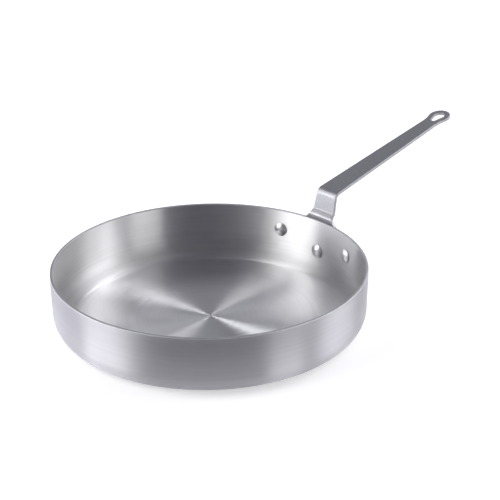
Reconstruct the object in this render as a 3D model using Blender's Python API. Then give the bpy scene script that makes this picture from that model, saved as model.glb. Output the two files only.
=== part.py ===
"""Saute pan: a pressed aluminium pan and a bent steel strap handle, held by three solid rivets.

Metres, +Z up. The origin is the centre of the underside of the base, on the pan's axis.
The handle points along +X and is symmetric about the XZ plane.
"""
import bisect
import math

import bmesh
import bpy
from mathutils import Matrix, Vector

# Pan
RIM_RADIUS = 0.160
PAN_HEIGHT = 0.062
WALL_THICKNESS = 0.003
FLOOR_THICKNESS = 0.003
WALL_LEAN = math.radians(0.85)
BASE_CORNER_RADIUS = 0.0195
RIM_EDGE_RADIUS = 0.0009

# Rivets
SHANK_RADIUS = 0.0035
INNER_HEAD_RADIUS = 0.0075
INNER_HEAD_HEIGHT = 0.0033
OUTER_HEAD_RADIUS = 0.0065
OUTER_HEAD_HEIGHT = 0.0022
HEAD_EDGE = 0.0004
MIDDLE_RIVET_RISE = 0.0067
SIDE_RIVET_REACH = 0.051
SIDE_RIVET_STEP = 0.0131
DRILL_RUN_OUT = 0.003

# Handle strap, seen from the side: straight runs, each with its lean from the vertical
STRAP_THICKNESS = 0.0033
ROOT_RISE = 0.0046
JOGGLE_LENGTH = 0.0068
JOGGLE_LEAN = math.radians(45.0)
RISER_LENGTH = 0.0222
RISER_LEAN = math.radians(11.8)
GRIP_LENGTH = 0.2039
GRIP_LEAN = math.radians(77.2)
JOGGLE_BEND_RADIUS = 0.0020
TOP_BEND_RADIUS = 0.0052
STRAP_EDGE = 0.0005

# Handle strap, seen flat: half widths, lobes round the rivets, and the eye
LOBE_RADIUS = 0.012
WEB_HOLLOW_RADIUS = 0.060
NECK_HALF_WIDTH = 0.0149
NECK_FILLET_RADIUS = 0.016
NECK_FILLET_RISE = 0.0118
WAIST_HALF_WIDTH = 0.0138
WAIST_CURVE_RADIUS = 0.200
GRIP_END_HALF_WIDTH = 0.0095
EYE_RADIUS = 0.0126
EYE_FILLET_RADIUS = 0.034
EYE_HOLE_RADIUS = 0.0061
EYE_HOLE_NARROW_RADIUS = 0.0034
EYE_HOLE_LENGTH = 0.0200
EYE_HOLE_SET_BACK = 0.0060

# Fits and facets
FIT_GAP = 0.0003
FACET_SAG = 0.00008
ROOT_SLICE = 0.006
SMOOTH_ANGLE = math.radians(32.0)
MERGE_DISTANCE = 0.000001


def clear_scene():
    for thing in list(bpy.data.objects):
        bpy.data.objects.remove(thing, do_unlink=True)


def principled(name, color, roughness):
    material = bpy.data.materials.new(name)
    material.use_nodes = True
    shader = material.node_tree.nodes["Principled BSDF"]
    shader.inputs["Base Color"].default_value = (*color, 1.0)
    shader.inputs["Metallic"].default_value = 1.0
    shader.inputs["Roughness"].default_value = roughness
    return material


def arc_steps(radius, angle, least=2):
    """Chords along an arc, so that none leaves it by more than the facet sag."""
    chord_angle = 2.0 * math.acos(1.0 - min(FACET_SAG / radius, 1.0))
    return max(least, math.ceil(abs(angle) / chord_angle))


def circle_steps(radius):
    """Sides of a full circle, a multiple of four so that it reaches its true size on X and Y."""
    return 4 * math.ceil(arc_steps(radius, math.tau) / 4)


def rounded_path(corners, radii):
    """Points along straight runs whose inner corners are rounded by arcs."""
    points = [corners[0]]
    for before, corner, after, radius in zip(corners, corners[1:], corners[2:], radii):
        arriving = (corner - before).normalized()
        leaving = (after - corner).normalized()
        turn = math.atan2(arriving.cross(leaving), arriving.dot(leaving))
        start = corner - arriving * radius * math.tan(abs(turn) / 2.0)
        centre = start + Vector((-arriving.y, arriving.x)) * math.copysign(radius, turn)
        steps = arc_steps(radius, turn)
        for step in range(steps + 1):
            points.append(centre + Matrix.Rotation(turn * step / steps, 2) @ (start - centre))
    points.append(corners[-1])
    return points


def tangent_outline(circles, inset=0.0):
    """Closed outline that runs anticlockwise round circles, joined by their common tangents.

    Each circle is (centre, radius). A positive radius bulges out and a negative one hollows in.
    The inset moves the whole outline inwards and keeps its number of points.
    """
    tangents = []
    for (here, radius), (there, next_radius) in zip(circles, circles[1:] + circles[:1]):
        span = there - here
        # Circles that touch give a ratio of one, which rounding may pass.
        ratio = max(-1.0, min(1.0, (next_radius - radius) / span.length))
        tangents.append(math.atan2(span.y, span.x) + math.acos(ratio))
    points = []
    for index, (centre, radius) in enumerate(circles):
        arriving = tangents[index - 1]
        turn = (tangents[index] - arriving) % math.tau
        if radius < 0.0:
            turn -= math.tau
        steps = arc_steps(abs(radius), turn)
        for step in range(steps + 1):
            angle = arriving + turn * step / steps
            points.append(centre - (radius - inset) * Vector((math.cos(angle), math.sin(angle))))
    return points


def circle_outline(centre, radius, inset=0.0):
    steps = circle_steps(radius)
    angles = [math.tau * step / steps for step in range(steps)]
    return [centre + (radius - inset) * Vector((math.cos(angle), math.sin(angle))) for angle in angles]


def touching_centre(first, first_radius, second, second_radius, radius):
    """Centre of a circle that touches two others from outside, to the right of the way between them."""
    span = second - first
    near = first_radius + radius
    far = second_radius + radius
    along = (near ** 2 - far ** 2 + span.length_squared) / (2.0 * span.length)
    across = math.sqrt(near ** 2 - along ** 2)
    direction = span.normalized()
    return first + direction * along + Vector((direction.y, -direction.x)) * across


def wall_radius(height):
    """Outer radius of the pan's wall at a height above the base."""
    return RIM_RADIUS - (PAN_HEIGHT - height) * math.tan(WALL_LEAN)


def plate_radius(height):
    """Radius of the strap's root plate, on its side against the wall."""
    return wall_radius(height) + FIT_GAP / math.cos(WALL_LEAN)


def up_the_wall(height):
    return height / math.cos(WALL_LEAN)


WALL_ACROSS = WALL_THICKNESS / math.cos(WALL_LEAN)
INNER_CORNER_RADIUS = BASE_CORNER_RADIUS - WALL_THICKNESS
MIDDLE_RIVET_HEIGHT = FLOOR_THICKNESS + INNER_CORNER_RADIUS + MIDDLE_RIVET_RISE
SIDE_RIVET_HEIGHT = MIDDLE_RIVET_HEIGHT + SIDE_RIVET_STEP
RIVETS = {
    "rivet_middle": (MIDDLE_RIVET_HEIGHT, 0.0),
    "rivet_right": (SIDE_RIVET_HEIGHT, SIDE_RIVET_REACH),
    "rivet_left": (SIDE_RIVET_HEIGHT, -SIDE_RIVET_REACH),
}


def rivet_frame(height, reach):
    """Place of a rivet: origin on the wall's outer face, local +Z straight out of the wall."""
    angle = reach / plate_radius(height)
    around = Matrix.Rotation(angle, 4, "Z")
    out_of_wall = Matrix.Rotation(math.pi / 2.0 + WALL_LEAN, 4, "Y")
    return around @ Matrix.Translation((wall_radius(height), 0.0, height)) @ out_of_wall


def make_object(name, mesh_data, material, parent):
    mesh = bpy.data.meshes.new(name)
    bmesh.ops.recalc_face_normals(mesh_data, faces=mesh_data.faces)
    if mesh_data.calc_volume(signed=True) < 0.0:
        bmesh.ops.reverse_faces(mesh_data, faces=mesh_data.faces)
    mesh_data.to_mesh(mesh)
    mesh_data.free()
    mesh.materials.append(material)
    mesh.shade_smooth()
    mesh.set_sharp_from_angle(angle=SMOOTH_ANGLE)
    piece = bpy.data.objects.new(name, mesh)
    bpy.context.collection.objects.link(piece)
    piece.parent = parent
    return piece


def turned(section):
    """Solid of revolution about Z. The section runs from the axis to the axis, as (radius, height)."""
    solid = bmesh.new()
    verts = [solid.verts.new((point.x, 0.0, point.y)) for point in section]
    edges = [solid.edges.new(pair) for pair in zip(verts, verts[1:])]
    bmesh.ops.spin(
        solid,
        geom=verts + edges,
        axis=(0.0, 0.0, 1.0),
        cent=(0.0, 0.0, 0.0),
        angle=math.tau,
        steps=circle_steps(max(point.x for point in section)),
        use_merge=True,
    )
    bmesh.ops.remove_doubles(solid, verts=solid.verts, dist=MERGE_DISTANCE)
    return solid


def cut_rivet_holes(body, parent):
    """Holes through the wall, square to it, one for each rivet."""
    for name, (height, reach) in RIVETS.items():
        drill = bmesh.new()
        radius = SHANK_RADIUS + FIT_GAP
        bmesh.ops.create_cone(
            drill,
            cap_ends=True,
            segments=circle_steps(radius),
            radius1=radius,
            radius2=radius,
            depth=2.0 * (WALL_THICKNESS + DRILL_RUN_OUT),
        )
        cutter = make_object(name + "_hole", drill, body.data.materials[0], parent)
        cutter.matrix_world = rivet_frame(height, reach)
        cutter.hide_render = True
        cutter.display_type = "WIRE"
        cut = body.modifiers.new(name + "_hole", "BOOLEAN")
        cut.operation = "DIFFERENCE"
        cut.solver = "EXACT"
        cut.object = cutter


def make_pan_body(material, parent):
    """One pressed shell: flat floor, round base corner, and a wall that leans out to a plain rim."""
    corners = [
        Vector((0.0, 0.0)),
        Vector((wall_radius(0.0), 0.0)),
        Vector((RIM_RADIUS, PAN_HEIGHT)),
        Vector((RIM_RADIUS - WALL_ACROSS, PAN_HEIGHT)),
        Vector((wall_radius(FLOOR_THICKNESS) - WALL_ACROSS, FLOOR_THICKNESS)),
        Vector((0.0, FLOOR_THICKNESS)),
    ]
    radii = [BASE_CORNER_RADIUS, RIM_EDGE_RADIUS, RIM_EDGE_RADIUS, INNER_CORNER_RADIUS]
    body = make_object("pan_body", turned(rounded_path(corners, radii)), material, parent)
    cut_rivet_holes(body, parent)


def dome(radius, height, seat, side):
    """Arc of a rivet head from its edge to its top, on one side of the seat it stands on."""
    rise = height - HEAD_EDGE
    sphere = (radius ** 2 + rise ** 2) / (2.0 * rise)
    spread = math.asin(radius / sphere)
    steps = arc_steps(sphere, spread, least=4)
    points = []
    for step in range(steps + 1):
        angle = spread * (1.0 - step / steps)
        level = HEAD_EDGE + rise - sphere * (1.0 - math.cos(angle))
        points.append(Vector((sphere * math.sin(angle), seat + side * level)))
    return points


def make_rivet(name, height, reach, material, parent):
    """Solid rivet: a domed head inside the pan, the shank, and a flatter head formed on the strap."""
    inner_wall = wall_radius(height) - WALL_ACROSS
    wall_sag = inner_wall - math.sqrt(inner_wall ** 2 - INNER_HEAD_RADIUS ** 2)
    inner_seat = -(WALL_THICKNESS + wall_sag + FIT_GAP)
    outer_seat = FIT_GAP + STRAP_THICKNESS + FIT_GAP
    section = list(reversed(dome(INNER_HEAD_RADIUS, INNER_HEAD_HEIGHT, inner_seat, -1.0)))
    section += [
        Vector((INNER_HEAD_RADIUS, inner_seat)),
        Vector((SHANK_RADIUS, inner_seat)),
        Vector((SHANK_RADIUS, outer_seat)),
        Vector((OUTER_HEAD_RADIUS, outer_seat)),
    ]
    section += dome(OUTER_HEAD_RADIUS, OUTER_HEAD_HEIGHT, outer_seat, 1.0)
    rivet = make_object(name, turned(section), material, parent)
    rivet.matrix_world = rivet_frame(height, reach)


def handle_spine():
    """Side view of the strap, on its face towards the pan, as (distance from the axis, height)."""
    first_bend_height = PAN_HEIGHT + ROOT_RISE
    corners = [
        Vector((plate_radius(0.0), 0.0)),
        Vector((plate_radius(first_bend_height), first_bend_height)),
    ]
    runs = [(JOGGLE_LENGTH, JOGGLE_LEAN), (RISER_LENGTH, RISER_LEAN), (GRIP_LENGTH, GRIP_LEAN)]
    for length, lean in runs:
        corners.append(corners[-1] + length * Vector((math.sin(lean), math.cos(lean))))
    radii = [JOGGLE_BEND_RADIUS + STRAP_THICKNESS, JOGGLE_BEND_RADIUS, TOP_BEND_RADIUS + STRAP_THICKNESS]
    return rounded_path(corners, radii)


def spine_stations(spine):
    """Length along the spine and the way through the strap's thickness, at each of its points."""
    lengths = [0.0]
    backs = []
    for here, there in zip(spine, spine[1:]):
        run = there - here
        lengths.append(lengths[-1] + run.length)
        backs.append(Vector((run.y, -run.x)).normalized())
    throughs = [backs[0]]
    for below, above in zip(backs, backs[1:]):
        throughs.append((below + above) / (1.0 + below.dot(above)))
    throughs.append(backs[-1])
    return lengths, throughs


def mirrored(circle):
    centre, radius = circle
    return (Vector((centre.x, -centre.y)), radius)


def blank_outline_circles(strap_end):
    """Circles that the flat strap's outline runs round, as (along, across) from the base of the wall."""
    eye = (Vector((strap_end - EYE_RADIUS, 0.0)), EYE_RADIUS)
    fillet_across = GRIP_END_HALF_WIDTH + EYE_FILLET_RADIUS
    fillet_back = math.sqrt((EYE_RADIUS + EYE_FILLET_RADIUS) ** 2 - fillet_across ** 2)
    eye_fillet = (Vector((eye[0].x - fillet_back, fillet_across)), -EYE_FILLET_RADIUS)
    rim = up_the_wall(PAN_HEIGHT)
    waist_along = rim + ROOT_RISE + JOGGLE_LENGTH + RISER_LENGTH
    waist = (Vector((waist_along, WAIST_HALF_WIDTH + WAIST_CURVE_RADIUS)), -WAIST_CURVE_RADIUS)
    neck_across = NECK_HALF_WIDTH + NECK_FILLET_RADIUS
    neck = (Vector((rim + NECK_FILLET_RISE, neck_across)), -NECK_FILLET_RADIUS)
    side_lobe = (Vector((up_the_wall(SIDE_RIVET_HEIGHT), SIDE_RIVET_REACH)), LOBE_RADIUS)
    middle_lobe = (Vector((up_the_wall(MIDDLE_RIVET_HEIGHT), 0.0)), LOBE_RADIUS)
    hollow_centre = touching_centre(*side_lobe, *middle_lobe, WEB_HOLLOW_RADIUS)
    hollow = (hollow_centre, -WEB_HOLLOW_RADIUS)
    half = [eye_fillet, waist, neck, side_lobe, hollow]
    return [eye] + half + [middle_lobe] + [mirrored(circle) for circle in reversed(half)]


def eye_hole_circles(strap_end):
    """Teardrop hole to hang the pan by: its round end lies towards the tip of the handle."""
    round_end = strap_end - EYE_HOLE_SET_BACK - EYE_HOLE_RADIUS
    narrow_end = strap_end - EYE_HOLE_SET_BACK - EYE_HOLE_LENGTH + EYE_HOLE_NARROW_RADIUS
    return [
        (Vector((round_end, 0.0)), EYE_HOLE_RADIUS),
        (Vector((narrow_end, 0.0)), EYE_HOLE_NARROW_RADIUS),
    ]


def flat_strap(strap_end):
    """The stamped blank before bending: its outline and holes, with eased edges, as a closed solid."""
    outline = blank_outline_circles(strap_end)
    eye_hole = eye_hole_circles(strap_end)
    levels = [
        (0.0, STRAP_EDGE),
        (STRAP_EDGE, 0.0),
        (STRAP_THICKNESS - STRAP_EDGE, 0.0),
        (STRAP_THICKNESS, STRAP_EDGE),
    ]
    blank = bmesh.new()
    face_edges = {0: [], len(levels) - 1: []}

    def add_wall(outline_at_inset):
        rings = []
        for depth, inset in levels:
            points = outline_at_inset(inset)
            rings.append([blank.verts.new((point.x, point.y, depth)) for point in points])
        for lower, upper in zip(rings, rings[1:]):
            for index in range(len(lower)):
                blank.faces.new((lower[index - 1], lower[index], upper[index], upper[index - 1]))
        for level, edges in face_edges.items():
            ring = rings[level]
            edges += [blank.edges.get((ring[index - 1], ring[index])) for index in range(len(ring))]

    add_wall(lambda inset: tangent_outline(outline, inset))
    add_wall(lambda inset: tangent_outline(eye_hole, -inset))
    for height, reach in RIVETS.values():
        centre = Vector((up_the_wall(height), reach))
        add_wall(lambda inset: circle_outline(centre, SHANK_RADIUS + FIT_GAP, -inset))
    for edges in face_edges.values():
        bmesh.ops.triangle_fill(blank, edges=edges, use_beauty=True)
    return blank


def slice_blank(blank, lengths, curl_end):
    """Cuts across the blank at each bend line, and along it where it wraps round the wall."""
    for length in lengths:
        everything = blank.verts[:] + blank.edges[:] + blank.faces[:]
        bmesh.ops.bisect_plane(
            blank, geom=everything, dist=MERGE_DISTANCE, plane_co=(length, 0.0, 0.0), plane_no=(1.0, 0.0, 0.0)
        )
    reach = SIDE_RIVET_REACH + LOBE_RADIUS
    slices = math.ceil(2.0 * reach / ROOT_SLICE)
    for index in range(1, slices):
        across = reach * (2.0 * index / slices - 1.0)
        root_faces = [face for face in blank.faces if face.calc_center_median().x < curl_end]
        root_edges = {edge for face in root_faces for edge in face.edges}
        root_verts = {vert for face in root_faces for vert in face.verts}
        bmesh.ops.bisect_plane(
            blank,
            geom=list(root_verts) + list(root_edges) + root_faces,
            dist=MERGE_DISTANCE,
            plane_co=(0.0, across, 0.0),
            plane_no=(0.0, 1.0, 0.0),
        )
    bmesh.ops.triangulate(blank, faces=blank.faces)


def bend_point(flat, spine, lengths, throughs, curl_start, curl_end):
    """Where a point of the flat blank goes: up the spine, and round the wall until the curl fades out."""
    along, across, depth = flat
    index = max(0, min(bisect.bisect_right(lengths, along), len(lengths) - 1) - 1)
    share = (along - lengths[index]) / (lengths[index + 1] - lengths[index])
    place = spine[index].lerp(spine[index + 1], share)
    through = throughs[index].lerp(throughs[index + 1], share) * depth
    flatness = max(0.0, (along - curl_start) / (curl_end - curl_start))
    if flatness >= 1.0:
        return Vector((place.x + through.x, across, place.y + through.y))
    curl_radius = place.x / (1.0 - flatness)
    angle = across / curl_radius
    radius = curl_radius + through.x
    return Vector((
        place.x - curl_radius + radius * math.cos(angle),
        radius * math.sin(angle),
        place.y + through.y,
    ))


def make_handle(material, parent):
    """One stamped strap: a root plate wrapped round the wall, a joggle over the rim, and a long grip."""
    spine = handle_spine()
    lengths, throughs = spine_stations(spine)
    curl_start = up_the_wall(PAN_HEIGHT)
    curl_end = curl_start + ROOT_RISE + JOGGLE_LENGTH
    blank = flat_strap(lengths[-1])
    slice_blank(blank, lengths[1:-1] + [curl_start, curl_end], curl_end)
    for vert in blank.verts:
        vert.co = bend_point(vert.co, spine, lengths, throughs, curl_start, curl_end)
    make_object("handle", blank, material, parent)


def build():
    clear_scene()
    pan = bpy.data.objects.new("saute_pan", None)
    bpy.context.collection.objects.link(pan)
    satin_aluminium = principled("satin_aluminium", (0.80, 0.80, 0.80), 0.32)
    satin_steel = principled("satin_steel", (0.58, 0.58, 0.60), 0.28)
    polished_aluminium = principled("polished_aluminium", (0.86, 0.86, 0.87), 0.12)
    make_pan_body(satin_aluminium, pan)
    make_handle(satin_steel, pan)
    for name, (height, reach) in RIVETS.items():
        make_rivet(name, height, reach, polished_aluminium, pan)


build()
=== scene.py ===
"""Looks of the saute pan: satin turned aluminium, a brushed steel strap and polished rivets.

Metres, +Z up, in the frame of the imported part. The origin is the centre of the underside of the
base, on the pan's axis, and the handle points along +X.
"""

import bisect
import math

import bmesh
import bpy
from mathutils import Matrix, Vector


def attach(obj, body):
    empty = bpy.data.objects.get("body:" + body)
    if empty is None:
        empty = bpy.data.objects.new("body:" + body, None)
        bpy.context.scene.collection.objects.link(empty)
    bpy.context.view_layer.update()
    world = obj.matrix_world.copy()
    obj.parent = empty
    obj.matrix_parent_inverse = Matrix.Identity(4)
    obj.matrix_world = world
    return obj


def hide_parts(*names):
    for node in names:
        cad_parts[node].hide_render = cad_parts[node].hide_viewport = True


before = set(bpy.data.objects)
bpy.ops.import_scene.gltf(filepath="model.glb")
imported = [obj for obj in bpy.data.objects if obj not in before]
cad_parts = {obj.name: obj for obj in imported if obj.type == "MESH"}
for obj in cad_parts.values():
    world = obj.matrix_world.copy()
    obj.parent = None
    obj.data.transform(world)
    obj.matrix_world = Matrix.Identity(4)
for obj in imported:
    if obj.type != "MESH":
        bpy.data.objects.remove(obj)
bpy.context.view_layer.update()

BODY = "root"

# Pan, as the part is built
RIM_RADIUS = 0.160
PAN_HEIGHT = 0.062
WALL_THICKNESS = 0.003
FLOOR_THICKNESS = 0.003
WALL_LEAN = math.radians(0.85)
BASE_CORNER_RADIUS = 0.0195
RIM_EDGE_RADIUS = 0.0009

# Turner's witness marks in the middle of the floor
CENTRE_PIP_RADIUS = 0.0016
CENTRE_PIP_DEPTH = 0.0003
PAD_MARK_RADIUS = 0.0085
PAD_MARK_WIDTH = 0.0018
PAD_MARK_DEPTH = 0.0003

# Rivets
SHANK_RADIUS = 0.0035
INNER_HEAD_RADIUS = 0.0075
INNER_HEAD_HEIGHT = 0.0033
OUTER_HEAD_RADIUS = 0.0065
OUTER_HEAD_HEIGHT = 0.0022
HEAD_EDGE = 0.0004
MIDDLE_RIVET_RISE = 0.0067
SIDE_RIVET_REACH = 0.051
SIDE_RIVET_STEP = 0.0131
DRILL_RUN_OUT = 0.003

# Handle strap, seen from the side
STRAP_THICKNESS = 0.0033
ROOT_RISE = 0.0046
JOGGLE_LENGTH = 0.0068
JOGGLE_LEAN = math.radians(45.0)
RISER_LENGTH = 0.0222
RISER_LEAN = math.radians(11.8)
GRIP_LENGTH = 0.2039
GRIP_LEAN = math.radians(77.2)
JOGGLE_BEND_RADIUS = 0.0020
TOP_BEND_RADIUS = 0.0052
STRAP_EDGE = 0.0005

# Handle strap, seen flat
LOBE_RADIUS = 0.012
WEB_HOLLOW_RADIUS = 0.060
NECK_HALF_WIDTH = 0.0149
NECK_FILLET_RADIUS = 0.016
NECK_FILLET_RISE = 0.0118
WAIST_HALF_WIDTH = 0.0138
WAIST_CURVE_RADIUS = 0.200
GRIP_END_HALF_WIDTH = 0.0095
EYE_RADIUS = 0.0126
EYE_FILLET_RADIUS = 0.034
EYE_HOLE_RADIUS = 0.0061
EYE_HOLE_NARROW_RADIUS = 0.0034
EYE_HOLE_LENGTH = 0.0200
EYE_HOLE_SET_BACK = 0.0060

# Gap between pieces that touch on the real pan
FIT_GAP = 0.0003

# Fineness of the visible meshes
FACET_SAG = 0.00001
PAN_SIDES = 288
RIVET_SIDES = 64
EDGE_STEPS = 4
ROOT_SLICE = 0.003
MERGE_DISTANCE = 0.000001
SMOOTH_ANGLE = math.radians(32.0)
UV_NAME = "UVMap"

# Materials on the pan's mesh. The second one marks the drilled holes until their normals are set,
# and afterwards it is the filed rim.
MAIN_MATERIAL = 0
MARKED_MATERIAL = 1

# Camera, by its place round the origin and the way it looks
CAMERA_DISTANCE = 1.3344
CAMERA_AZIMUTH = math.radians(-131.0)
CAMERA_ELEVATION = math.radians(27.37)
CAMERA_TURN = math.radians(1.98)
CAMERA_PITCH = math.radians(24.39)
CAMERA_ROLL = math.radians(0.40)
CAMERA_LENS = 93.22
SENSOR_WIDTH = 36.0

# Turned aluminium: rings and streaks are sizes on the metal, tints are shares of its brightness.
# Turning the anisotropy by a quarter stretches the highlights across the rings.
INSIDE_COLOR = (0.711, 0.708, 0.714)
# The outside is coloured darker and more violet than the inside: painted shade, standing in for
# dark reflections on the outer wall.
OUTSIDE_SHADED_COLOR = (0.470, 0.461, 0.490)
# The inner wall's colour is scaled down against the floor's: painted shade.
WALL_PAINTED_SHADE = 0.86
# A faint bright line round the inside, above the corner: a painted highlight.
HIGHLIGHT_LINE_SET_BACK = 0.0175
HIGHLIGHT_LINE_WIDTH = 0.0045
HIGHLIGHT_LINE_TINT = 0.05
OUTSIDE_ROUGHNESS = 0.61
BASE_ROUGHNESS = 0.43
OUTER_WALL_LENGTH = 0.045
WALL_ROUGHNESS = 0.37
CORNER_ROUGHNESS = 0.64
FLOOR_ROUGHNESS = 0.31
TURNED_ANISOTROPY = 1.0
TURNED_ROTATION = 0.25
GROOVE_PITCH = 0.0025
GROOVE_DEPTH = 0.000006
RING_PITCH = 0.0035
RING_DEPTH = 0.000012
RING_TINT = 0.018
RING_SWAY = 0.09
STREAK_TURNS = 1.0
STREAK_FINENESS = 450.0
STREAK_TINT = 0.025
STREAK_ROUGHNESS = 0.01
SMUDGE_SCALE = 22.0
SMUDGE_TINT = 0.03
SMUDGE_ROUGHNESS = 0.015
CORNER_BLEND = 0.005
CORNER_SET_BACK = 0.009
CORNER_SPAN = 0.032
RIM_BLEND = 0.0015
CUT_RIM_DEPTH = 0.0010
# The filed rim is rougher than the pan and coloured darker. The darker colour is painted shade.
CUT_RIM_SHADED_COLOR = (0.43, 0.428, 0.445)
CUT_RIM_ROUGHNESS = 0.50
RIM_MARK_SCALE = 260.0
RIM_MARK_TINT = 0.06
RIM_MARK_DEPTH = 0.00002

# Steel strap and rivets
STEEL_COLOR = (0.335, 0.333, 0.350)
STRAP_ROUGHNESS = 0.42
GRAIN_STRETCH = (250.0, 1200.0, 0.0)
GRAIN_TINT = 0.10
GRAIN_DEPTH = 0.000004
SPECKLE_SCALE = 500.0
SPECKLE_DEPTH = 0.000015
RIVET_COLOR = (0.56, 0.56, 0.57)
RIVET_ROUGHNESS = 0.42
RIVET_ROUGHNESS_SWING = 0.084
RIVET_MARK_SCALE = 350.0
RIVET_MARK_DEPTH = 0.00003

# Noise: layers of detail, and the middle part of its range that a tint or a swing runs over
PLAIN_DETAIL = 1.0
RING_DETAIL = 1.5
GRAIN_DETAIL = 2.0
SMUDGE_DETAIL = 3.0
WIDE_SPREAD = (0.25, 0.75)
NARROW_SPREAD = (0.3, 0.7)

# Numbers of the Mix node's colour sockets
MIX_FIRST = 6
MIX_SECOND = 7
MIX_RESULT = 2

# Studio
FLOOR_SIZE = 24.0
FLOOR_DROP = 0.0002
FLOOR_COLOR = (0.80, 0.80, 0.80)
FLOOR_GLOW = 0.405
WORLD_COLOR = (0.180, 0.177, 0.211)
LAMP_DISTANCE = 1.8
AIM_HEIGHT = 0.04

# Softboxes: azimuth, elevation, half width and half height in degrees, and brightness, where 1
# is white
SOFTBOXES = {
    "left_key": (155.3, 26.4, 19.5, 24.2, 3.65),
    "left_low": (118.0, 8.3, 29.8, 6.6, 5.00),
    "left_high": (98.4, 64.2, 11.7, 6.5, 1.93),
    "left_mid": (134.9, 43.8, 10.0, 8.0, 5.00),
    "right_key": (-5.8, 43.5, 27.5, 6.3, 3.92),
    "right_side": (-32.6, 29.7, 21.5, 21.1, 3.00),
    "right_front": (-81.0, 11.4, 12.5, 12.6, 3.50),
    "back_high": (66.4, 37.5, 20.4, 7.7, 0.46),
    "back_fill": (48.0, 24.0, 17.0, 9.5, 0.33),
    "back_low": (16.0, 12.0, 28.0, 6.0, 2.50),
}

# Softboxes whose light is a little bluer than white
COOL_SOFTBOXES = ("left_low", "right_key", "back_high", "back_fill")
COOL_LIGHT = (0.985, 1.0, 1.045)


def arc_steps(radius, angle, least=2):
    """Chords along an arc, so that none leaves it by more than the facet sag."""
    chord_angle = 2.0 * math.acos(1.0 - min(FACET_SAG / radius, 1.0))
    return max(least, math.ceil(abs(angle) / chord_angle))


def rounded_path(corners, radii):
    """Points, each with its direction, along straight runs with arcs at their inner corners."""
    first = (corners[1] - corners[0]).normalized()
    stations = [(corners[0], first)]
    for before, corner, after, radius in zip(corners, corners[1:], corners[2:], radii):
        arriving = (corner - before).normalized()
        leaving = (after - corner).normalized()
        turn = math.atan2(arriving.cross(leaving), arriving.dot(leaving))
        start = corner - arriving * radius * math.tan(abs(turn) / 2.0)
        centre = start + Vector((-arriving.y, arriving.x)) * math.copysign(radius, turn)
        steps = arc_steps(radius, turn)
        for step in range(steps + 1):
            swing = Matrix.Rotation(turn * step / steps, 2)
            stations.append((centre + swing @ (start - centre), swing @ arriving))
    last = (corners[-1] - corners[-2]).normalized()
    stations.append((corners[-1], last))
    return stations


def wall_radius(height):
    """Radius of the wall's outer face."""
    return RIM_RADIUS - (PAN_HEIGHT - height) * math.tan(WALL_LEAN)


def plate_radius(height):
    """Radius of the root plate's face towards the wall."""
    return wall_radius(height) + FIT_GAP / math.cos(WALL_LEAN)


def up_the_wall(height):
    """Length along the leaning wall, from its base up to a height."""
    return height / math.cos(WALL_LEAN)


WALL_ACROSS = WALL_THICKNESS / math.cos(WALL_LEAN)
INNER_CORNER_RADIUS = BASE_CORNER_RADIUS - WALL_THICKNESS
MIDDLE_RIVET_HEIGHT = FLOOR_THICKNESS + INNER_CORNER_RADIUS + MIDDLE_RIVET_RISE
SIDE_RIVET_HEIGHT = MIDDLE_RIVET_HEIGHT + SIDE_RIVET_STEP
RIVETS = {
    "rivet_middle": (MIDDLE_RIVET_HEIGHT, 0.0),
    "rivet_right": (SIDE_RIVET_HEIGHT, SIDE_RIVET_REACH),
    "rivet_left": (SIDE_RIVET_HEIGHT, -SIDE_RIVET_REACH),
}


def rivet_frame(height, reach):
    """Place of a rivet: origin on the wall's outer face, local +Z straight out of the wall."""
    angle = reach / plate_radius(height)
    around = Matrix.Rotation(angle, 4, "Z")
    out_of_wall = Matrix.Rotation(math.pi / 2.0 + WALL_LEAN, 4, "Y")
    return around @ Matrix.Translation((wall_radius(height), 0.0, height)) @ out_of_wall


def show(piece, node, material):
    """Puts a fine piece in the place of its plain solid."""
    piece.data.materials.append(material)
    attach(piece, BODY)
    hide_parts(node)


def profile_lengths(stations):
    """Length along a section from its first station to each station."""
    lengths = [0.0]
    for (here, _), (there, _) in zip(stations, stations[1:]):
        lengths.append(lengths[-1] + (there - here).length)
    return lengths


def turned(name, stations, sides):
    """Solid of revolution about Z. The section runs anticlockwise from the axis to the axis.

    The UV map holds the way round, from 0 to 1, and the length along the section in metres.
    """
    lengths = profile_lengths(stations)
    solid = bmesh.new()
    uv = solid.loops.layers.uv.new(UV_NAME)
    rings = []
    for point, _ in stations:
        if point.x < MERGE_DISTANCE:
            rings.append([solid.verts.new((0.0, 0.0, point.y))] * sides)
            continue
        angles = [math.tau * side / sides for side in range(sides)]
        rings.append([
            solid.verts.new((point.x * math.cos(angle), point.x * math.sin(angle), point.y))
            for angle in angles
        ])
    for index in range(len(stations) - 1):
        lower, upper = rings[index], rings[index + 1]
        for side in range(sides):
            after = (side + 1) % sides
            corners = [
                (lower[side], side, index),
                (lower[after], side + 1, index),
                (upper[after], side + 1, index + 1),
                (upper[side], side, index + 1),
            ]
            if lower[side] is lower[after]:
                corners.pop(1)
            if upper[side] is upper[after]:
                corners.pop(2)
            face = solid.faces.new([corner[0] for corner in corners])
            for loop, (_, turn, station) in zip(face.loops, corners):
                loop[uv].uv = (turn / sides, lengths[station])
    mesh = bpy.data.meshes.new(name)
    solid.to_mesh(mesh)
    solid.free()
    mesh.shade_smooth()
    piece = bpy.data.objects.new(name, mesh)
    bpy.context.scene.collection.objects.link(piece)
    return piece


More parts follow.
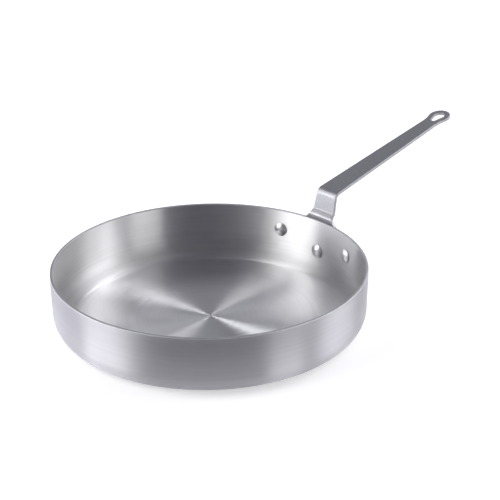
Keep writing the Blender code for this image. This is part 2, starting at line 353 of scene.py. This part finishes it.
def pan_profile():
    """Half section of the pan with the witness marks in the middle of its floor."""
    corners = [
        Vector((0.0, 0.0)),
        Vector((wall_radius(0.0), 0.0)),
        Vector((RIM_RADIUS, PAN_HEIGHT)),
        Vector((RIM_RADIUS - WALL_ACROSS, PAN_HEIGHT)),
        Vector((wall_radius(FLOOR_THICKNESS) - WALL_ACROSS, FLOOR_THICKNESS)),
        Vector((PAD_MARK_RADIUS + PAD_MARK_WIDTH / 2.0, FLOOR_THICKNESS)),
        Vector((PAD_MARK_RADIUS, FLOOR_THICKNESS - PAD_MARK_DEPTH)),
        Vector((PAD_MARK_RADIUS - PAD_MARK_WIDTH / 2.0, FLOOR_THICKNESS)),
        Vector((CENTRE_PIP_RADIUS, FLOOR_THICKNESS)),
        Vector((0.0, FLOOR_THICKNESS - CENTRE_PIP_DEPTH)),
    ]
    wall_radii = [BASE_CORNER_RADIUS, RIM_EDGE_RADIUS, RIM_EDGE_RADIUS, INNER_CORNER_RADIUS]
    mark_radii = [PAD_MARK_WIDTH] * 3 + [CENTRE_PIP_RADIUS]
    return rounded_path(corners, wall_radii + mark_radii)


def rivet_hole_cutter(name, height, reach):
    """Drill for one rivet hole, square to the wall, with its faces marked."""
    drill = bmesh.new()
    bmesh.ops.create_cone(
        drill,
        cap_ends=True,
        segments=RIVET_SIDES,
        radius1=SHANK_RADIUS + FIT_GAP,
        radius2=SHANK_RADIUS + FIT_GAP,
        depth=2.0 * (WALL_THICKNESS + DRILL_RUN_OUT),
        matrix=rivet_frame(height, reach),
    )
    for face in drill.faces:
        face.material_index = MARKED_MATERIAL
    mesh = bpy.data.meshes.new(name)
    drill.to_mesh(mesh)
    drill.free()
    cutter = bpy.data.objects.new(name, mesh)
    bpy.context.scene.collection.objects.link(cutter)
    return cutter


def drill_rivet_holes(piece):
    """Cuts the three holes and keeps the result as the piece's own mesh."""
    cutters = [rivet_hole_cutter(name + "_hole", *place) for name, place in RIVETS.items()]
    for cutter in cutters:
        cut = piece.modifiers.new(cutter.name, "BOOLEAN")
        cut.operation = "DIFFERENCE"
        cut.solver = "EXACT"
        cut.object = cutter
    evaluated = piece.evaluated_get(bpy.context.evaluated_depsgraph_get())
    drilled = bpy.data.meshes.new_from_object(evaluated)
    piece.modifiers.clear()
    piece.data = drilled
    for cutter in cutters:
        bpy.data.objects.remove(cutter, do_unlink=True)


def set_turned_normals(mesh, stations):
    """Exact normals of a turned surface, read from its section. Marked faces stay flat."""
    lengths = profile_lengths(stations)
    layer = mesh.uv_layers[UV_NAME].data
    normals = []
    for polygon in mesh.polygons:
        around = math.atan2(polygon.center.y, polygon.center.x)
        for loop_index in polygon.loop_indices:
            if polygon.material_index == MARKED_MATERIAL:
                normals.append(polygon.normal)
                continue
            place = mesh.vertices[mesh.loops[loop_index].vertex_index].co
            length = layer[loop_index].uv.y
            index = max(0, min(bisect.bisect_right(lengths, length), len(lengths) - 1) - 1)
            share = (length - lengths[index]) / (lengths[index + 1] - lengths[index])
            way = stations[index][1].lerp(stations[index + 1][1], share).normalized()
            angle = math.atan2(place.y, place.x) if place.xy.length > MERGE_DISTANCE else around
            normals.append(Vector((way.y * math.cos(angle), way.y * math.sin(angle), -way.x)))
    mesh.normals_split_custom_set(normals)


def make_pan():
    """The pan's shell, drilled for its rivets, with a filed edge on its rim."""
    stations = pan_profile()
    lengths = profile_lengths(stations)
    heights = [point.y for point, _ in stations]
    # Outside and inside meet at the rim's outer edge. That is half a wall before the inner end of
    # its flat top, which is the last of the highest stations.
    rim_length = max(zip(heights, lengths))[1] - WALL_THICKNESS / 2.0
    floor_length = min(
        length for height, length in zip(heights, lengths)
        if length > rim_length and height < FLOOR_THICKNESS + MERGE_DISTANCE
    )
    pan = turned("turned_pan", stations, PAN_SIDES)
    drill_rivet_holes(pan)
    set_turned_normals(pan.data, stations)
    for polygon in pan.data.polygons:
        filed = polygon.center.z > PAN_HEIGHT - CUT_RIM_DEPTH
        polygon.material_index = MARKED_MATERIAL if filed else MAIN_MATERIAL
    show(pan, "pan_body", turned_aluminium(rim_length, floor_length))
    pan.data.materials.append(filed_shaded_rim_metal())


def dome(radius, height, seat, side):
    """Arc of a rivet head from its edge to its top, on one side of the seat it stands on."""
    rise = height - HEAD_EDGE
    sphere = (radius ** 2 + rise ** 2) / (2.0 * rise)
    spread = math.asin(radius / sphere)
    steps = arc_steps(sphere, spread)
    points = []
    for step in range(steps + 1):
        angle = spread * (1.0 - step / steps)
        level = HEAD_EDGE + rise - sphere * (1.0 - math.cos(angle))
        points.append(Vector((sphere * math.sin(angle), seat + side * level)))
    return points


def make_rivet(node, height, reach, material):
    """Solid rivet with a tall domed head inside the pan and a lower one on the strap."""
    inner_wall = wall_radius(height) - WALL_ACROSS
    wall_sag = inner_wall - math.sqrt(inner_wall ** 2 - INNER_HEAD_RADIUS ** 2)
    inner_seat = -(WALL_THICKNESS + wall_sag + FIT_GAP)
    outer_seat = FIT_GAP + STRAP_THICKNESS + FIT_GAP
    section = list(reversed(dome(INNER_HEAD_RADIUS, INNER_HEAD_HEIGHT, inner_seat, -1.0)))
    section += [
        Vector((INNER_HEAD_RADIUS, inner_seat)),
        Vector((SHANK_RADIUS, inner_seat)),
        Vector((SHANK_RADIUS, outer_seat)),
        Vector((OUTER_HEAD_RADIUS, outer_seat)),
    ]
    section += dome(OUTER_HEAD_RADIUS, OUTER_HEAD_HEIGHT, outer_seat, 1.0)
    rivet = turned("polished_" + node, [(point, None) for point in section], RIVET_SIDES)
    rivet.data.transform(rivet_frame(height, reach))
    rivet.data.set_sharp_from_angle(angle=SMOOTH_ANGLE)
    show(rivet, node, material)


def tangent_outline(circles, inset):
    """Closed outline that runs anticlockwise round circles, joined by their common tangents.

    Each circle is (centre, radius). A positive radius bulges out and a negative one hollows in.
    The inset moves the outline inwards. Each point comes with the direction out of the outline.
    """
    tangents = []
    for (here, radius), (there, next_radius) in zip(circles, circles[1:] + circles[:1]):
        span = there - here
        # Circles that touch give a ratio of one, which rounding may pass.
        ratio = max(-1.0, min(1.0, (next_radius - radius) / span.length))
        tangents.append(math.atan2(span.y, span.x) + math.acos(ratio))
    points = []
    for index, (centre, radius) in enumerate(circles):
        arriving = tangents[index - 1]
        turn = (tangents[index] - arriving) % math.tau
        if radius < 0.0:
            turn -= math.tau
        steps = arc_steps(abs(radius), turn)
        for step in range(steps + 1):
            angle = arriving + turn * step / steps
            outward = -Vector((math.cos(angle), math.sin(angle)))
            points.append((centre + (radius - inset) * outward, outward))
    return points


def touching_centre(first, first_radius, second, second_radius, radius):
    """Centre of a circle that touches two others from outside, right of the way between them."""
    span = second - first
    near = first_radius + radius
    far = second_radius + radius
    along = (near ** 2 - far ** 2 + span.length_squared) / (2.0 * span.length)
    across = math.sqrt(near ** 2 - along ** 2)
    direction = span.normalized()
    return first + direction * along + Vector((direction.y, -direction.x)) * across


def handle_spine():
    """The strap's face towards the pan, seen from the side, as (distance from axis, height)."""
    first_bend_height = PAN_HEIGHT + ROOT_RISE
    corners = [
        Vector((plate_radius(0.0), 0.0)),
        Vector((plate_radius(first_bend_height), first_bend_height)),
    ]
    runs = [(JOGGLE_LENGTH, JOGGLE_LEAN), (RISER_LENGTH, RISER_LEAN), (GRIP_LENGTH, GRIP_LEAN)]
    for length, lean in runs:
        corners.append(corners[-1] + length * Vector((math.sin(lean), math.cos(lean))))
    radii = [
        JOGGLE_BEND_RADIUS + STRAP_THICKNESS,
        JOGGLE_BEND_RADIUS,
        TOP_BEND_RADIUS + STRAP_THICKNESS,
    ]
    return rounded_path(corners, radii)


def mirrored(circle):
    """The same circle on the strap's other side."""
    centre, radius = circle
    return (Vector((centre.x, -centre.y)), radius)


def blank_outline_circles(strap_end):
    """Circles that the strap's outline runs round, as (along, across) from the wall's base."""
    eye = (Vector((strap_end - EYE_RADIUS, 0.0)), EYE_RADIUS)
    fillet_across = GRIP_END_HALF_WIDTH + EYE_FILLET_RADIUS
    fillet_back = math.sqrt((EYE_RADIUS + EYE_FILLET_RADIUS) ** 2 - fillet_across ** 2)
    eye_fillet = (Vector((eye[0].x - fillet_back, fillet_across)), -EYE_FILLET_RADIUS)
    rim = up_the_wall(PAN_HEIGHT)
    waist_along = rim + ROOT_RISE + JOGGLE_LENGTH + RISER_LENGTH
    waist = (Vector((waist_along, WAIST_HALF_WIDTH + WAIST_CURVE_RADIUS)), -WAIST_CURVE_RADIUS)
    neck_across = NECK_HALF_WIDTH + NECK_FILLET_RADIUS
    neck = (Vector((rim + NECK_FILLET_RISE, neck_across)), -NECK_FILLET_RADIUS)
    side_lobe = (Vector((up_the_wall(SIDE_RIVET_HEIGHT), SIDE_RIVET_REACH)), LOBE_RADIUS)
    middle_lobe = (Vector((up_the_wall(MIDDLE_RIVET_HEIGHT), 0.0)), LOBE_RADIUS)
    hollow_centre = touching_centre(*side_lobe, *middle_lobe, WEB_HOLLOW_RADIUS)
    hollow = (hollow_centre, -WEB_HOLLOW_RADIUS)
    half = [eye_fillet, waist, neck, side_lobe, hollow]
    return [eye] + half + [middle_lobe] + [mirrored(circle) for circle in reversed(half)]


def eye_hole_circles(strap_end):
    """Circles at the round and the narrow end of the teardrop hole."""
    round_end = strap_end - EYE_HOLE_SET_BACK - EYE_HOLE_RADIUS
    narrow_end = strap_end - EYE_HOLE_SET_BACK - EYE_HOLE_LENGTH + EYE_HOLE_NARROW_RADIUS
    return [
        (Vector((round_end, 0.0)), EYE_HOLE_RADIUS),
        (Vector((narrow_end, 0.0)), EYE_HOLE_NARROW_RADIUS),
    ]


def circle_outline(centre, radius, inset):
    """Closed round outline, with the direction out of it at each point."""
    points = []
    for side in range(RIVET_SIDES):
        angle = math.tau * side / RIVET_SIDES
        outward = Vector((math.cos(angle), math.sin(angle)))
        points.append((centre + (radius - inset) * outward, outward))
    return points


def edge_levels():
    """Rings over the strap's rounded edges, from its inner face to its outer one.

    Each is its depth, its inset, and how far its normal leans out and through the strap.
    """
    levels = []
    for step in range(EDGE_STEPS + 1):
        angle = math.pi / 2.0 * step / EDGE_STEPS
        lean_out = math.sin(angle)
        lean_through = math.cos(angle)
        depth = STRAP_EDGE * (1.0 - lean_through)
        inset = STRAP_EDGE * (1.0 - lean_out)
        levels.append((depth, inset, lean_out, -lean_through))
    for depth, inset, lean_out, lean_through in reversed(levels[:]):
        levels.append((STRAP_THICKNESS - depth, inset, lean_out, -lean_through))
    return levels


def flat_strap(strap_end):
    """The stamped blank before bending. Each vertex keeps the normal that it has while flat."""
    outline = blank_outline_circles(strap_end)
    eye_hole = eye_hole_circles(strap_end)
    levels = edge_levels()
    blank = bmesh.new()
    flat_normal = blank.verts.layers.float_vector.new("flat_normal")
    face_edges = {0: [], len(levels) - 1: []}

    def add_wall(outline_at_inset, side):
        rings = []
        for depth, inset, lean_out, lean_through in levels:
            ring = []
            for point, outward in outline_at_inset(inset):
                vert = blank.verts.new((point.x, point.y, depth))
                lean = side * lean_out * outward
                vert[flat_normal] = (lean.x, lean.y, lean_through)
                ring.append(vert)
            rings.append(ring)
        for lower, upper in zip(rings, rings[1:]):
            for index in range(len(lower)):
                blank.faces.new((lower[index - 1], lower[index], upper[index], upper[index - 1]))
        for level, edges in face_edges.items():
            ring = rings[level]
            edges += [blank.edges.get(pair) for pair in zip(ring[-1:] + ring[:-1], ring)]

    add_wall(lambda inset: tangent_outline(outline, inset), 1.0)
    add_wall(lambda inset: tangent_outline(eye_hole, -inset), -1.0)
    for height, reach in RIVETS.values():
        centre = Vector((up_the_wall(height), reach))
        add_wall(lambda inset: circle_outline(centre, SHANK_RADIUS + FIT_GAP, -inset), -1.0)
    for edges in face_edges.values():
        bmesh.ops.triangle_fill(blank, edges=edges, use_beauty=True)
    return blank, flat_normal


def cut_across(blank, geometry, place, direction):
    """Cuts the given part of the blank along a plane and keeps both sides."""
    bmesh.ops.bisect_plane(
        blank, geom=geometry, dist=MERGE_DISTANCE, plane_co=place, plane_no=direction
    )


def slice_blank(blank, lengths, curl_end):
    """Cuts across the blank at each bend line, and along it where it wraps round the wall."""
    for length in lengths:
        everything = blank.verts[:] + blank.edges[:] + blank.faces[:]
        cut_across(blank, everything, (length, 0.0, 0.0), (1.0, 0.0, 0.0))
    reach = SIDE_RIVET_REACH + LOBE_RADIUS
    slices = math.ceil(2.0 * reach / ROOT_SLICE)
    for index in range(1, slices):
        across = reach * (2.0 * index / slices - 1.0)
        root_faces = [face for face in blank.faces if face.calc_center_median().x < curl_end]
        root_edges = {edge for face in root_faces for edge in face.edges}
        root_verts = {vert for face in root_faces for vert in face.verts}
        root = list(root_verts) + list(root_edges) + root_faces
        cut_across(blank, root, (0.0, across, 0.0), (0.0, 1.0, 0.0))
    bmesh.ops.triangulate(blank, faces=blank.faces)


def bend_frame(along, across, spine, lengths, curl_start, curl_end):
    """Where a point of the blank's inner face goes, and its axes along, across and through."""
    index = max(0, min(bisect.bisect_right(lengths, along), len(lengths) - 1) - 1)
    share = (along - lengths[index]) / (lengths[index + 1] - lengths[index])
    place = spine[index][0].lerp(spine[index + 1][0], share)
    way = spine[index][1].lerp(spine[index + 1][1], share).normalized()
    flatness = max(0.0, (along - curl_start) / (curl_end - curl_start))
    along_axis = Vector((way.x, 0.0, way.y))
    through_axis = Vector((way.y, 0.0, -way.x))
    across_axis = Vector((0.0, 1.0, 0.0))
    if flatness >= 1.0:
        return Vector((place.x, across, place.y)), along_axis, across_axis, through_axis
    curl_radius = place.x / (1.0 - flatness)
    angle = across / curl_radius
    around = Matrix.Rotation(angle, 3, "Z")
    drawn_in = curl_radius * (1.0 - math.cos(angle))
    position = Vector((place.x - drawn_in, curl_radius * math.sin(angle), place.y))
    return position, around @ along_axis, around @ across_axis, around @ through_axis


def make_handle(material):
    """One strap, stamped flat, then bent up its spine and wrapped round the wall at its root."""
    spine = handle_spine()
    lengths = profile_lengths(spine)
    curl_start = up_the_wall(PAN_HEIGHT)
    curl_end = curl_start + ROOT_RISE + JOGGLE_LENGTH
    blank, flat_normal = flat_strap(lengths[-1])
    slice_blank(blank, lengths[1:-1] + [curl_start, curl_end], curl_end)
    uv = blank.loops.layers.uv.new(UV_NAME)
    for face in blank.faces:
        for loop in face.loops:
            loop[uv].uv = loop.vert.co.xy
    normals = []
    for vert in blank.verts:
        along, across, depth = vert.co
        place, along_axis, across_axis, through_axis = bend_frame(
            along, across, spine, lengths, curl_start, curl_end
        )
        lean = vert[flat_normal]
        normal = along_axis * lean.x + across_axis * lean.y + through_axis * lean.z
        normals.append(normal.normalized())
        vert.co = place + through_axis * depth
    bmesh.ops.recalc_face_normals(blank, faces=blank.faces)
    if blank.calc_volume(signed=True) < 0.0:
        bmesh.ops.reverse_faces(blank, faces=blank.faces)
    mesh = bpy.data.meshes.new("strap_handle")
    blank.to_mesh(mesh)
    blank.free()
    mesh.shade_smooth()
    mesh.normals_split_custom_set_from_vertices(normals)
    handle = bpy.data.objects.new("strap_handle", mesh)
    bpy.context.scene.collection.objects.link(handle)
    show(handle, "handle", material)


class Nodes:
    """Short forms for building a material's node tree."""

    def __init__(self, name):
        self.material = bpy.data.materials.new(name)
        self.material.use_nodes = True
        self.tree = self.material.node_tree
        self.shader = self.tree.nodes["Principled BSDF"]

    def add(self, kind, **settings):
        node = self.tree.nodes.new(kind)
        for setting, value in settings.items():
            setattr(node, setting, value)
        return node

    def plug(self, socket, value):
        if isinstance(value, bpy.types.NodeSocket):
            self.tree.links.new(value, socket)
        else:
            socket.default_value = value

    def feed(self, node, **inputs):
        for key, value in inputs.items():
            self.plug(node.inputs[key.replace("_", " ")], value)
        return node

    def math(self, operation, *values):
        node = self.add("ShaderNodeMath", operation=operation)
        for socket, value in zip(node.inputs, values):
            self.plug(socket, value)
        return node.outputs[0]

    def vector(self, operation, *values, scale=None):
        node = self.add("ShaderNodeVectorMath", operation=operation)
        for socket, value in zip(node.inputs, values):
            self.plug(socket, value)
        if scale is not None:
            self.plug(node.inputs["Scale"], scale)
        return node.outputs[0]

    def place(self):
        return self.add("ShaderNodeTexCoord").outputs["Object"]

    def uv(self):
        return self.add("ShaderNodeUVMap", uv_map=UV_NAME).outputs[0]

    def noise(self, vector, scale, detail):
        node = self.add("ShaderNodeTexNoise")
        self.feed(node, Vector=vector, Scale=scale, Detail=detail)
        return node.outputs["Fac"]

    def noise_along(self, length, scale, detail):
        node = self.add("ShaderNodeTexNoise", noise_dimensions="1D")
        self.feed(node, W=length, Scale=scale, Detail=detail)
        return node.outputs["Fac"]

    def ramp(self, value, start, end, low, high):
        """Runs from low to high as the value runs from start to end, and is level outside."""
        node = self.add("ShaderNodeMapRange")
        self.feed(node, Value=value, From_Min=start, From_Max=end, To_Min=low, To_Max=high)
        return node.outputs[0]

    def swing(self, noise, amount, spread=WIDE_SPREAD, middle=0.0):
        """Runs from an amount below the middle to the same above it, over the noise's spread."""
        return self.ramp(noise, *spread, middle - amount, middle + amount)

    def mix(self, share, first, second):
        node = self.add("ShaderNodeMix", data_type="RGBA")
        self.plug(node.inputs["Factor"], share)
        self.plug(node.inputs[MIX_FIRST], (*first, 1.0))
        self.plug(node.inputs[MIX_SECOND], (*second, 1.0))
        return node.outputs[MIX_RESULT]

    def bump(self, height, distance, normal=None):
        node = self.add("ShaderNodeBump")
        self.feed(node, Height=height, Distance=distance)
        if normal is not None:
            self.feed(node, Normal=normal)
        return node.outputs[0]


def turned_aluminium(rim_length, floor_length):
    """Satin metal turned in fine rings, given where rim and floor lie along the pan's section."""
    nodes = Nodes("turned_aluminium")
    around_and_along = nodes.add("ShaderNodeSeparateXYZ")
    nodes.plug(around_and_along.inputs[0], nodes.uv())
    length = around_and_along.outputs[1]
    place = nodes.place()
    flat_place = nodes.vector("MULTIPLY", place, (1.0, 1.0, 0.0))
    direction = nodes.vector("NORMALIZE", flat_place)
    up = nodes.add("ShaderNodeCombineXYZ")
    nodes.plug(up.inputs[2], nodes.math("MULTIPLY", length, STREAK_FINENESS))
    long_streaks = nodes.vector("MULTIPLY_ADD", direction, (STREAK_TURNS,) * 3, up.outputs[0])

    grooves = nodes.noise_along(length, 1.0 / GROOVE_PITCH, PLAIN_DETAIL)
    rings = nodes.noise_along(length, 1.0 / RING_PITCH, RING_DETAIL)
    streaks = nodes.noise(long_streaks, 1.0, PLAIN_DETAIL)
    smudges = nodes.noise(place, SMUDGE_SCALE, SMUDGE_DETAIL)

    # Where along the section each region lies
    outside = nodes.ramp(length, rim_length - RIM_BLEND, rim_length + RIM_BLEND, 1.0, 0.0)
    outside_start = rim_length - OUTER_WALL_LENGTH
    corner_start = floor_length - CORNER_SPAN
    corner_middle = floor_length - CORNER_SET_BACK
    corner_end = floor_length + CORNER_BLEND

    # Rings, streaks and smudges, painted shade that darkens the inner wall, and a faint painted
    # highlight line above the corner
    brightness = nodes.math("ADD", nodes.swing(rings, RING_TINT), 1.0)
    brightness = nodes.math("ADD", nodes.swing(streaks, STREAK_TINT), brightness)
    brightness = nodes.math("ADD", nodes.swing(smudges, SMUDGE_TINT, NARROW_SPREAD), brightness)
    painted_shading = nodes.ramp(length, corner_start, corner_end, WALL_PAINTED_SHADE, 1.0)
    # Painted highlight: a faint bright line round the inside, above the corner
    past_line = nodes.math("SUBTRACT", length, floor_length - HIGHLIGHT_LINE_SET_BACK)
    from_line = nodes.math("ABSOLUTE", past_line)
    painted_highlight_line = nodes.ramp(from_line, 0.0, HIGHLIGHT_LINE_WIDTH, HIGHLIGHT_LINE_TINT, 0.0)
    painted_shading = nodes.math("ADD", painted_shading, painted_highlight_line)
    brightness = nodes.math("MULTIPLY", brightness, nodes.math("MAXIMUM", painted_shading, outside))
    # Painted shade: the outside takes a darker, more violet colour than the inside
    metal = nodes.mix(outside, INSIDE_COLOR, OUTSIDE_SHADED_COLOR)
    color = nodes.vector("SCALE", metal, scale=brightness)

    # Roughest in the corner, then on the outer wall, and smoothest on the floor
    into_corner = nodes.ramp(
        length, corner_start, corner_middle, WALL_ROUGHNESS, CORNER_ROUGHNESS
    )
    out_of_corner = nodes.ramp(
        length, corner_middle, corner_end, CORNER_ROUGHNESS, FLOOR_ROUGHNESS
    )
    past_middle = nodes.math("GREATER_THAN", length, corner_middle)
    before_middle = nodes.math("SUBTRACT", 1.0, past_middle)
    inside_roughness = nodes.math("MULTIPLY", before_middle, into_corner)
    inside_roughness = nodes.math("MULTIPLY_ADD", past_middle, out_of_corner, inside_roughness)
    outside_roughness = nodes.ramp(
        length, outside_start, rim_length, BASE_ROUGHNESS, OUTSIDE_ROUGHNESS
    )
    outside_rise = nodes.math("SUBTRACT", outside_roughness, WALL_ROUGHNESS)
    roughness = nodes.math("MULTIPLY_ADD", outside, outside_rise, inside_roughness)
    roughness = nodes.math("ADD", nodes.swing(streaks, STREAK_ROUGHNESS), roughness)
    smudging = nodes.swing(smudges, SMUDGE_ROUGHNESS, NARROW_SPREAD)
    roughness = nodes.math("ADD", smudging, roughness)

    # Grooves in the surface, and a grain that follows them with a slight sway
    normal = nodes.bump(rings, RING_DEPTH)
    normal = nodes.bump(grooves, GROOVE_DEPTH, normal)
    tangent = nodes.add("ShaderNodeTangent", direction_type="RADIAL", axis="Z").outputs[0]
    sway = nodes.vector("SCALE", direction, scale=nodes.swing(rings, RING_SWAY))
    tangent = nodes.vector("ADD", tangent, sway)
    nodes.feed(
        nodes.shader,
        Base_Color=color,
        Metallic=1.0,
        Roughness=roughness,
        Anisotropic=TURNED_ANISOTROPY,
        Anisotropic_Rotation=TURNED_ROTATION,
        Tangent=tangent,
        Normal=normal,
    )
    return nodes.material


def filed_shaded_rim_metal():
    """The pan's trimmed edge: the same aluminium, filed rough, and coloured darker as painted
    shade.
    """
    nodes = Nodes("filed_shaded_aluminium")
    marks = nodes.noise(nodes.place(), RIM_MARK_SCALE, GRAIN_DETAIL)
    brightness = nodes.swing(marks, RIM_MARK_TINT, NARROW_SPREAD, middle=1.0)
    nodes.feed(
        nodes.shader,
        Base_Color=nodes.vector("SCALE", CUT_RIM_SHADED_COLOR, scale=brightness),
        Metallic=1.0,
        Roughness=CUT_RIM_ROUGHNESS,
        Normal=nodes.bump(marks, RIM_MARK_DEPTH),
    )
    return nodes.material


def brushed_steel():
    """Satin strip with a fine grain along the strap and a few handling marks."""
    nodes = Nodes("brushed_steel")
    place = nodes.place()
    stretched = nodes.vector("MULTIPLY", nodes.uv(), GRAIN_STRETCH)
    grain = nodes.noise(stretched, 1.0, GRAIN_DETAIL)
    speckle = nodes.noise(place, SPECKLE_SCALE, GRAIN_DETAIL)
    smudges = nodes.noise(place, SMUDGE_SCALE, SMUDGE_DETAIL)
    brightness = nodes.math("ADD", nodes.swing(grain, GRAIN_TINT), 1.0)
    brightness = nodes.math("ADD", nodes.swing(speckle, GRAIN_TINT), brightness)
    brightness = nodes.math("ADD", nodes.swing(smudges, SMUDGE_TINT, NARROW_SPREAD), brightness)
    roughness = nodes.math("ADD", nodes.swing(grain, STREAK_ROUGHNESS), STRAP_ROUGHNESS)
    normal = nodes.bump(speckle, SPECKLE_DEPTH)
    normal = nodes.bump(grain, GRAIN_DEPTH, normal)
    nodes.feed(
        nodes.shader,
        Base_Color=nodes.vector("SCALE", STEEL_COLOR, scale=brightness),
        Metallic=1.0,
        Roughness=roughness,
        Normal=normal,
    )
    return nodes.material


def polished_rivet_metal():
    """Bright aluminium with faint hammer marks left by the rivet set."""
    nodes = Nodes("polished_aluminium")
    marks = nodes.noise(nodes.place(), RIVET_MARK_SCALE, PLAIN_DETAIL)
    roughness = nodes.swing(marks, RIVET_ROUGHNESS_SWING, NARROW_SPREAD, RIVET_ROUGHNESS)
    nodes.feed(
        nodes.shader,
        Base_Color=(*RIVET_COLOR, 1.0),
        Metallic=1.0,
        Roughness=roughness,
        Normal=nodes.bump(marks, RIVET_MARK_DEPTH),
    )
    return nodes.material


def towards(azimuth, elevation):
    """Unit vector from the origin in a direction given by two angles."""
    level = math.cos(elevation)
    return Vector((level * math.cos(azimuth), level * math.sin(azimuth), math.sin(elevation)))


def make_camera():
    """A camera at the photograph's place, as fitted to the pan's outlines."""
    data = bpy.data.cameras.new("camera")
    data.sensor_width = SENSOR_WIDTH
    data.lens = CAMERA_LENS
    camera = bpy.data.objects.new("camera", data)
    bpy.context.scene.collection.objects.link(camera)
    place = CAMERA_DISTANCE * towards(CAMERA_AZIMUTH, CAMERA_ELEVATION)
    heading = Matrix.Rotation(CAMERA_AZIMUTH + math.pi / 2.0 - CAMERA_TURN, 4, "Z")
    pitch = Matrix.Rotation(math.pi / 2.0 - CAMERA_PITCH, 4, "X")
    roll = Matrix.Rotation(-CAMERA_ROLL, 4, "Z")
    camera.matrix_world = Matrix.Translation(place) @ heading @ pitch @ roll
    bpy.context.scene.camera = camera


def make_floor():
    """A plain white floor, whiter to camera, mirror and glass rays, that keeps the shadow."""
    bpy.ops.mesh.primitive_plane_add(size=FLOOR_SIZE, location=(0.0, 0.0, -FLOOR_DROP))
    floor = bpy.context.object
    floor.name = "floor"
    nodes = Nodes("studio_floor")
    path = nodes.add("ShaderNodeLightPath").outputs
    seen = nodes.math("MAXIMUM", path["Is Camera Ray"], path["Is Glossy Ray"])
    seen = nodes.math("MAXIMUM", seen, path["Is Transmission Ray"])
    strength = nodes.math("MULTIPLY", seen, FLOOR_GLOW)
    matt = nodes.feed(nodes.add("ShaderNodeBsdfDiffuse"), Color=(*FLOOR_COLOR, 1.0))
    glow = nodes.feed(nodes.add("ShaderNodeEmission"), Strength=strength)
    both = nodes.add("ShaderNodeAddShader")
    nodes.plug(both.inputs[0], matt.outputs[0])
    nodes.plug(both.inputs[1], glow.outputs[0])
    nodes.plug(nodes.tree.nodes["Material Output"].inputs["Surface"], both.outputs[0])
    nodes.tree.nodes.remove(nodes.shader)
    floor.data.materials.append(nodes.material)


def make_world():
    """A dim, even world."""
    world = bpy.data.worlds.new("studio")
    world.use_nodes = True
    world.node_tree.nodes["Background"].inputs["Color"].default_value = (*WORLD_COLOR, 1.0)
    bpy.context.scene.world = world


def softbox(name, azimuth, elevation, half_wide, half_tall, brightness):
    """A soft rectangular lamp aimed at the pan. Its place and size are angles seen from there.

    Its half width is in azimuth, so the lamp is narrower the higher it stands. It shines as
    bright as white where its power is pi times its area.
    """
    up = math.radians(elevation)
    away = towards(math.radians(azimuth), up)
    data = bpy.data.lights.new(name, "AREA")
    data.shape = "RECTANGLE"
    data.size = 2.0 * LAMP_DISTANCE * math.tan(math.radians(half_wide)) * math.cos(up)
    data.size_y = 2.0 * LAMP_DISTANCE * math.tan(math.radians(half_tall))
    data.energy = math.pi * data.size * data.size_y * brightness
    if name in COOL_SOFTBOXES:
        data.color = COOL_LIGHT
    lamp = bpy.data.objects.new(name, data)
    bpy.context.scene.collection.objects.link(lamp)
    lamp.location = Vector((0.0, 0.0, AIM_HEIGHT)) + LAMP_DISTANCE * away
    lamp.rotation_euler = (-away).to_track_quat("-Z", "Y").to_euler()


def make_lamps():
    for name, placing in SOFTBOXES.items():
        softbox(name, *placing)


make_camera()
make_floor()
make_world()
make_lamps()
make_pan()
make_handle(brushed_steel())
rivet_metal = polished_rivet_metal()
for rivet_node, rivet_place in RIVETS.items():
    make_rivet(rivet_node, *rivet_place, rivet_metal)

bpy.context.scene.view_settings.view_transform = "Standard"
